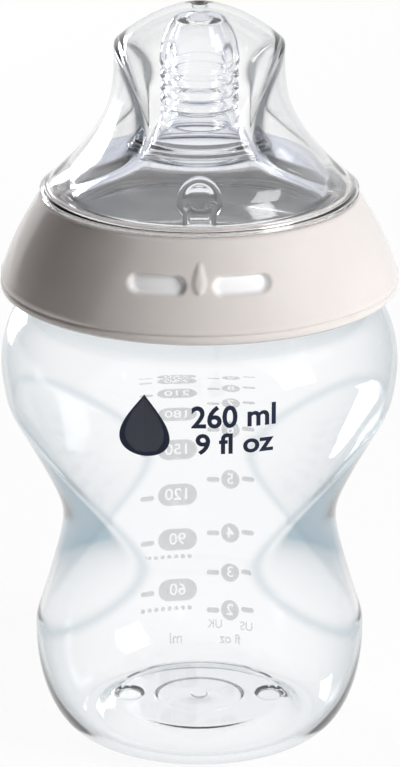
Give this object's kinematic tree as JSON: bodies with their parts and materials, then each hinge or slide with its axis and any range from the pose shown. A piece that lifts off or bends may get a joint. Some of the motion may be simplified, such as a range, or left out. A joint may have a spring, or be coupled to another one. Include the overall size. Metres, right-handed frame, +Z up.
{
  "type": "baby bottle",
  "caption": "Waisted clear baby bottle with side grips, silicone teat with air valve, light grey screw ring and clear hood.",
  "frame": {"origin": "centre of the foot ring, on the surface that the bottle stands on", "axes": "+Z up, front of the bottle towards -Y, side grips at +X and -X"},
  "size_m": [0.0748, 0.0748, 0.1416],
  "materials": {
    "clear_bottle": "clear, glossy",
    "silicone": "clear, smooth",
    "ring_plastic": "glossy",
    "clear_hood": "clear, glossy",
    "print_navy": "printed ink",
    "print_grey": "printed ink"
  },
  "bodies": {
    "bottle": {"bottle_body": "clear_bottle"},
    "teat": {"teat": "silicone"},
    "ring": {"screw_ring": "ring_plastic"},
    "hood": {"hood": "clear_hood"}
  },
  "joints": [
    {"name": "ring_rise", "type": "slide", "parent": "bottle", "child": "teat", "axis": [0, 0, 1], "range_m": [0, 0.0041]},
    {"name": "ring_turn", "type": "hinge", "parent": "teat", "child": "ring", "pos_m": [0, 0, 0.096], "axis": [0, 0, 1], "range_deg": [0, 360]},
    {"name": "hood_lift", "type": "slide", "parent": "ring", "child": "hood", "axis": [0, 0, 1], "range_m": [0, 0.04]}
  ],
  "couplings": [
    {"joint": "ring_rise", "follows": "ring_turn", "m_per_rad": 0.00063662}
  ]
}
